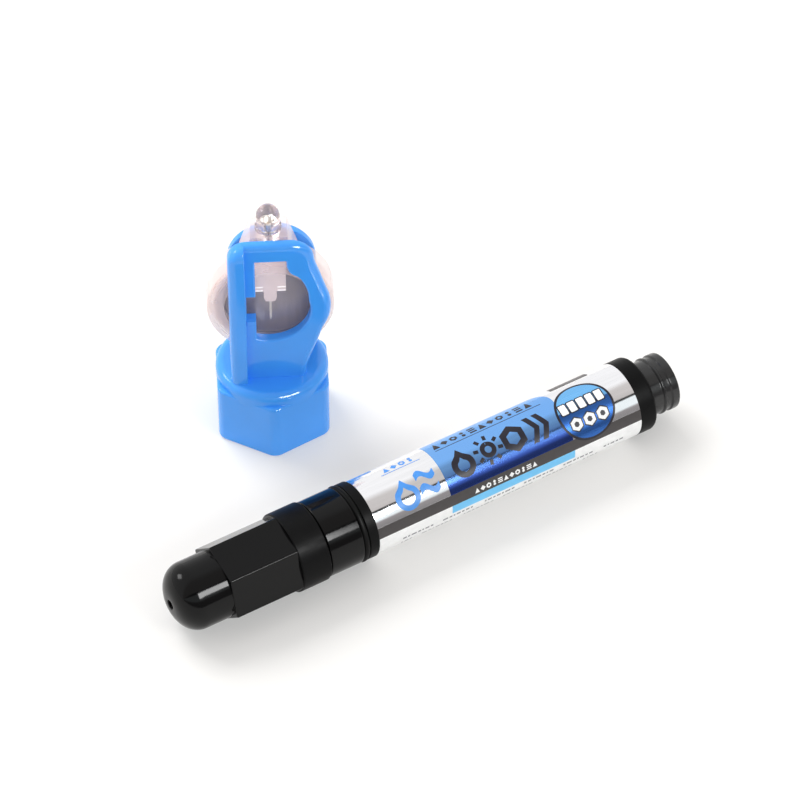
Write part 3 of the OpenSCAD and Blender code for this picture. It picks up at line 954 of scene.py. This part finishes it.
def window_outline():
    """Square slot over the lamp's leads, open to the round press hole, with a notch at its side."""
    left, right = -3.2, 3.5
    top = PLATE_TOP - 4.6
    hole_x, hole_z = -0.4, LIGHT_Z + 0.8
    notch, notch_top, notch_bottom = left - 2, LIGHT_Z + 5, LIGHT_Z - 1.6
    points = [(left, top), (left, notch_top), (notch, notch_top), (notch, notch_bottom)]
    points += [(left, notch_bottom), (left, hole_z - WINDOW_R + 0.5)]
    points += arc(hole_x, hole_z, WINDOW_R, -105, 15, 26)
    # the edge's swing from the hole up to the slot: how far right of the slot, how far under its top
    swing = [
        (4.5, 9.9), (4.28, 8.8), (3.98, 7.8), (3.66, 6.9), (3.26, 6.05), (2.85, 5.35), (2.4, 4.8),
        (1.9, 4.45), (1.35, 4.1), (0.85, 3.65), (0.5, 3.1), (0.2, 2.3), (0.05, 1.5), (0, 0),
    ]
    return points + [(right + across, top - fall) for across, fall in swing]


def window_cutter():
    """Cuts the window, with a rounded rim on the front."""
    rim = 0.45
    outline = window_outline()
    layers = [(PLATE_FRONT - 1, inset(outline, -rim))]
    for k in range(6):
        cos, sin = turned(90 * k / 5)
        layers.append((PLATE_FRONT + rim * (1 - cos), inset(outline, -rim * (1 - sin))))
    layers.append((-PLATE_GAP + 1, outline))
    return stack("window_cutter", layers, True)


def bar_moulding():
    """Bar down the left edge of the front plate, with a broad round on its outer edge."""
    left, right, back = -9.0, -5.4, -4.5
    corner, edge, inner_round = 4.0, 2.6, 0.25
    bend = PLATE_TOP - corner
    heights = [PLATE_FOOT, 30, 40, bend]
    heights += [bend + (corner - inner_round) * turned(a)[1] for a in range(6, 91, 6)]
    layers = []
    for z in heights:
        rise = max(0, z - bend)
        side = left + corner - math.sqrt(corner**2 - rise**2)
        lean = max(0, z - PLATE_TOP + inner_round + edge)
        front = BAR_FRONT + edge - math.sqrt(max(0, edge**2 - lean**2))
        outer_round = min(1.9, (right - side) * 0.7)
        corners = [(side, front, outer_round), (right, front, inner_round)]
        corners += [(right, back, 0), (side, back, 0)]
        layers.append((z, rounded(corners, 6)))
    return stack("bar", layers, False)


def base_collar():
    """Round collar on the base, with a broad rounded top edge."""
    top_round = 1.9
    profile = [(0, 2), (COLLAR_R - 0.5, 2.0), (COLLAR_R - 0.4, BASE_H - 2.4)]
    profile += [(COLLAR_R, BASE_H - 1)]
    profile += arc(COLLAR_R - top_round, COLLAR_TOP - top_round, top_round, 0, 90, 14)
    return upright_spin("collar", profile + [(0, COLLAR_TOP)])


def front_plate():
    """Front plate with its window cut."""
    front = plate("front", front_outline(), PLATE_FRONT, -PLATE_GAP, 1.5, 0.25)
    return combine(front, window_cutter(), "DIFFERENCE")


def back_plate():
    """Back plate with a round top."""
    middle = 0.6
    outline = [(middle - BACK_HALF, PLATE_FOOT), (middle + BACK_HALF, PLATE_FOOT)]
    outline += arc(middle, BACK_TOP - BACK_HALF, BACK_HALF, 0, 180, 30)
    return plate("back", outline, PLATE_GAP, -PLATE_FRONT, 0.25, 0.8)


def notch_tab():
    """Small step under the window's notch."""
    outline = box_loop(-5.3, -3.4, LIGHT_Z - 3.0, LIGHT_Z - 1.75)
    return plate("tab", outline, PLATE_FRONT - 0.3, PLATE_FRONT + 0.3, 0.15, 0)


def stop_rib():
    """Rib between the plates that the clear light stands on."""
    outline = box_loop(-1.5, 1.5, -4.5, 4.5)
    return block("rib", outline, PLATE_FOOT, LIGHT_Z - DISC_R - 0.05, 0, 0.2)


def socket():
    """Mouth under the base and the socket over it that takes the tail spigot."""
    mouth_r, mouth_top, socket_r, socket_top = 8.7, 3.6, 6.56, 11.6
    profile = [(0, -1), (mouth_r + 0.4, -1), (mouth_r + 0.4, 0), (mouth_r, 0.4)]
    profile += [(mouth_r, mouth_top), (6.8, mouth_top), (socket_r, mouth_top + 0.3)]
    return upright_spin("mouth", profile + [(socket_r, socket_top), (0, socket_top)])


def holder_moulding():
    """Hexagonal base, collar, both plates, bar, tab and stop rib, fused into one solid."""
    holder = block("holder_moulding", hexagon_outline(), 0, BASE_H, 0.5, 0.6)
    for part in (base_collar, front_plate, back_plate, bar_moulding, notch_tab, stop_rib):
        combine(holder, part(), "UNION")
    combine(holder, socket(), "DIFFERENCE")
    finish_piece(holder, "light_cap", "holder_blue", BLUE, "light_holder", sharp=28)


def light_outline():
    """Disc with its tapering neck."""
    half, soft = 4, 0.4
    meet_x, meet_z = DISC_R * turned(62)[0], LIGHT_Z + DISC_R * turned(62)[1]
    neck = [(meet_x, meet_z, 0), (half, NECK_TOP, soft)]
    neck += [(-half, NECK_TOP, soft), (-meet_x, meet_z, 0)]
    return arc(0, LIGHT_Z, DISC_R, 118, 422, 60) + rounded(neck, 3)[1:-1]


def shell_half(name, front, back, front_round, back_round):
    """Half of the clear light with the space for cells, lamp and leads cut out."""
    half = plate(name, light_outline(), front, back, front_round, back_round)
    wall = DISC_HALF - SKIN
    space = [(-wall, 0), (-wall, CAVITY_R), (wall, CAVITY_R), (wall, 0)]
    combine(half, across_spin("cell_space", space), "DIFFERENCE")
    seat_r = LAMP_R + 0.05
    seat = [(0, LAMP_FOOT), (seat_r, LAMP_FOOT), (seat_r, LAMP_Z + 4), (0, LAMP_Z + 4)]
    combine(half, upright_spin("lamp_seat", seat, 64), "DIFFERENCE")
    inner, outer, depth = 11.9, 12.35, 0.28
    for side in (-1, 1):
        skin, floor_y = side * (DISC_HALF + 1), side * (DISC_HALF - depth)
        groove = [(skin, inner), (skin, outer), (floor_y, outer), (floor_y, inner)]
        combine(half, across_spin("rim_groove", groove), "DIFFERENCE")
    slot = block("lead_slot", box_loop(-0.9, 0.9, -2.5, 2.5), LIGHT_Z, NECK_TOP - 2, 0, 0)
    return combine(half, slot, "DIFFERENCE")


def clear_shells():
    """Front and back halves of the clear light; the front one has the pad's hole."""
    seam, rim = 0.01, 0.7
    front = shell_half("shell_front", -DISC_HALF, -seam, rim, 0)
    hole_r = PAD_R + 0.3
    hole = [(-DISC_HALF - 1, 0), (-DISC_HALF - 1, hole_r)]
    hole += [(-DISC_HALF + 2, hole_r), (-DISC_HALF + 2, 0)]
    combine(front, across_spin("pad_hole", hole), "DIFFERENCE")
    finish_piece(front, "squeeze_light", "clear_shell", CLEAR, "light_shell_front")
    back = shell_half("shell_back", seam, DISC_HALF, 0, rim)
    finish_piece(back, "squeeze_light", "clear_shell", CLEAR, "light_shell_back")


def press_pad():
    """Clear disc with a faintly domed front that is pressed through the window."""
    thick, edge, dome = 0.8, 0.25, 0.12
    profile = [(-DISC_HALF + thick, 0), (-DISC_HALF + thick, PAD_R)]
    profile += arc(-DISC_HALF + edge, PAD_R - edge, edge, 90, 180, 4)
    profile += arc(-DISC_HALF, 0, (dome, PAD_R * 0.94), 90, 180, 6)[1:-1]
    profile += [(-DISC_HALF - dome, 0)]
    pad = across_spin("press_pad_moulding", profile)
    finish_piece(pad, "press_pad", "clear_shell", PAD_CLEAR, "press_pad")


def lamp():
    """Round-topped lamp with its flange on top of the neck."""
    flange_z, flange_r = NECK_TOP + 0.02, 2.85
    bevel = 0.15
    profile = [(0, LAMP_FOOT), (LAMP_R - bevel, LAMP_FOOT), (LAMP_R, LAMP_FOOT + bevel)]
    profile += [(LAMP_R, flange_z), (flange_r - bevel, flange_z), (flange_r, flange_z + bevel)]
    profile += [(flange_r, flange_z + 1 - bevel), (flange_r - bevel, flange_z + 1)]
    profile += [(LAMP_R, flange_z + 1.1), (LAMP_R, LAMP_Z - 0.01)]
    profile += arc(0, LAMP_Z, LAMP_R, 4, 89.9, 16)
    lens = upright_spin("lamp_moulding", profile, 96)
    finish_piece(lens, "squeeze_light", "lamp_clear", RESIN, "lamp_lens")


def lead_guide():
    """Pale block with a stem that holds the front lead over the cell, and its two pairs of ledges; the
    block glows faintly as painted light in the front plate's shade, and the ledges glow white as
    painted highlights.
    """
    half, stem, tip = 3.4, 1.4, 1
    foot, knee, end, top = LIGHT_Z + 3.2, LIGHT_Z + 1.2, LIGHT_Z + 0.2, LIGHT_Z + 14.6
    outline = [(-half, foot), (-stem, foot), (-stem, knee), (-tip, end), (tip, end)]
    outline += [(stem, knee), (stem, foot), (half, foot), (half, top), (-half, top)]
    face, back = -2.465, -1.8
    guide = plate("guide_moulding", outline, face, back, 0.12, 0.05)
    finish_piece(guide, "squeeze_light", "guide_clear", GUIDE_CLEAR, "lead_guide")
    # The ledges glow white as a painted highlight.
    for side, left, right in (("left", -3.35, -1.55), ("right", 1.55, 3.35)):
        for level, height in (("low", 3.3), ("high", 4.3)):
            outline = box_loop(left, right, LIGHT_Z + height, LIGHT_Z + height + 0.42)
            ledge = plate(f"guide_ledge_{side}_{level}", outline, face - 0.02, -2.3, 0.05, 0)
            finish_piece(ledge, "squeeze_light", "guide_clear", LEDGE_CLEAR_PAINTED_HIGHLIGHT)


def cad_finishes():
    """Materials of the CAD nodes whose shape is right."""
    finishes = {
        "squeeze_tube": MATT_BLACK, "nozzle_gasket": SEAL_GREY, "nozzle_hub": HUB_WHITE,
        "needle_tube": NEEDLE_STEEL, "needle_seal": SEAL_GREY, "anode_lead": LEAD_METAL,
        "cathode_lead": LEAD_METAL, "lamp_die": GOLD,
        "cell_ring": RING_PALE, "front_cell_can": CELL_STEEL, "back_cell_can": CELL_STEEL,
        "front_cell_lid": CELL_STEEL, "back_cell_lid": CELL_STEEL,
        "front_cell_seal": SEAL_DARK, "back_cell_seal": SEAL_DARK,
    }
    for name, material in finishes.items():
        mesh = frame["nodes"][name].data
        mesh.materials.clear()
        mesh.materials.append(material)


# ---- studio ----

def floor():
    """Large white table, as a stage."""
    half = 3.0
    mesh = bpy.data.meshes.new("table_top")
    corners = [(x, y, 0) for x, y in box_loop(-half, half, -half, half)]
    mesh.from_pydata(corners, [], [(0, 1, 2, 3)])
    table = linked("table_top", mesh)
    glow = {"emission_color": (1, 1, 1, 1), "emission_strength": 0.28}
    shader = Shader("table_white", specular_ior_level=0.1, **glow)
    shader.tint(shader.noise(3, 2), (0.60, 0.59, 0.575), (0.62, 0.61, 0.595))
    shader.rough(shader.noise(8, 2), 0.6, 0.7)
    mesh.materials.append(shader.material)


def soft_light(name, toward, distance, size, power):
    """Area light on the side that toward points to, aimed at the object."""
    data = bpy.data.lights.new(name, "AREA")
    data.shape = "RECTANGLE"
    data.size, data.size_y = size
    data.energy = power
    light = linked(name, data)
    aim = Vector((0, 0, 0.02))
    place = aim + Vector(toward).normalized() * distance
    light.location = place
    light.rotation_euler = (aim - place).to_track_quat("-Z", "Y").to_euler()
    return light


def sky_ramp(tree):
    """Colour of a white tent, from the horizon in front (0) over the top (0.5) to the back (1).

    It is dim low in front and white above that, with a dark line, a dimmer roof and a white back.
    """
    new, link = tree.nodes.new, tree.links.new
    parts = new("ShaderNodeSeparateXYZ")
    link(new("ShaderNodeTexCoord").outputs["Generated"], parts.inputs["Vector"])
    forward = new("ShaderNodeMath")
    forward.operation = "MULTIPLY"
    forward.inputs[1].default_value = -1
    link(parts.outputs["Y"], forward.inputs[0])
    angle = new("ShaderNodeMath")
    angle.operation = "ARCTAN2"
    link(parts.outputs["Z"], angle.inputs[0])
    link(forward.outputs[0], angle.inputs[1])
    share = new("ShaderNodeMapRange")
    share.inputs["From Min"].default_value = 0
    share.inputs["From Max"].default_value = math.pi
    link(angle.outputs[0], share.inputs["Value"])
    ramp = new("ShaderNodeValToRGB")
    link(share.outputs[0], ramp.inputs["Fac"])
    stops = [
        (0.00, (0.26, 0.25, 0.25)), (0.10, (0.33, 0.31, 0.31)), (0.13, (0.90, 0.96, 0.97)),
        (0.255, (0.90, 0.96, 0.97)), (0.266, (0.02, 0.02, 0.02)), (0.292, (0.02, 0.02, 0.02)),
        (0.305, (0.60, 0.57, 0.55)), (0.48, (0.66, 0.63, 0.61)), (0.57, (1.0, 1.0, 1.0)),
        (1.00, (1.0, 1.0, 1.0)),
    ]
    elements = ramp.color_ramp.elements
    while len(elements) < len(stops):
        elements.new(0.5)
    for element, (position, colour) in zip(elements, stops):
        element.position = position
        element.color = (*colour, 1)
    return ramp.outputs["Color"]


def sky():
    """The tent as light and reflection, with plain white where the camera sees it."""
    world = bpy.data.worlds.new("studio")
    world.use_nodes = True
    bpy.context.scene.world = world
    tree = world.node_tree
    new, link = tree.nodes.new, tree.links.new
    background = tree.nodes["Background"]
    choose = new("ShaderNodeMix")
    choose.data_type = "RGBA"
    link(new("ShaderNodeLightPath").outputs["Is Camera Ray"], choose.inputs["Factor"])
    link(sky_ramp(tree), choose.inputs["A"])
    choose.inputs["B"].default_value = (1, 1, 1, 1)
    link(choose.outputs["Result"], background.inputs["Color"])
    background.inputs["Strength"].default_value = 1.0


def lamps():
    """Lights from behind and in front, and two boxes for gloss, which give no diffuse light."""
    for light in (
        soft_light("main_soft_light", (-0.22, 0.84, 0.90), 1.6, (0.9, 0.8), 18),
        soft_light("front_fill", (0.25, -0.75, 0.55), 1.3, (0.5, 0.3), 4.2),
    ):
        light.visible_glossy = False
    for light in (
        soft_light("front_soft_box", (0.05, -0.79, 0.61), 1.3, (0.74, 0.40), 21),
        soft_light("left_lamp", (-0.54, 0.64, 0.55), 1.5, (0.4, 0.4), 3.5),
    ):
        light.visible_diffuse = False


def camera():
    """Long-lens camera, to the left in front of the row and well above it."""
    azimuth, elevation, distance = -31.8, 46.0, 0.9894
    aim = Vector((0.0144, 0.0088, 0))
    cos, sin = turned(azimuth)
    level, rise = turned(elevation)
    back = Vector((sin * level, -cos * level, rise))
    data = bpy.data.cameras.new("camera")
    data.lens = 202.5
    data.sensor_width = 36
    data.clip_start = 0.05
    data.clip_end = 20
    view = linked("camera", data)
    view.location = aim + back * distance
    view.rotation_euler = (-back).to_track_quat("-Z", "Y").to_euler()
    bpy.context.scene.camera = view


cap_moulding()
collar_moulding()
seat_bead()
o_ring()
tail_moulding()
label_sleeve()
label_print()
holder_moulding()
clear_shells()
press_pad()
lamp()
lead_guide()
cad_finishes()
floor()
sky()
lamps()
camera()
bpy.context.scene.view_settings.view_transform = "Standard"
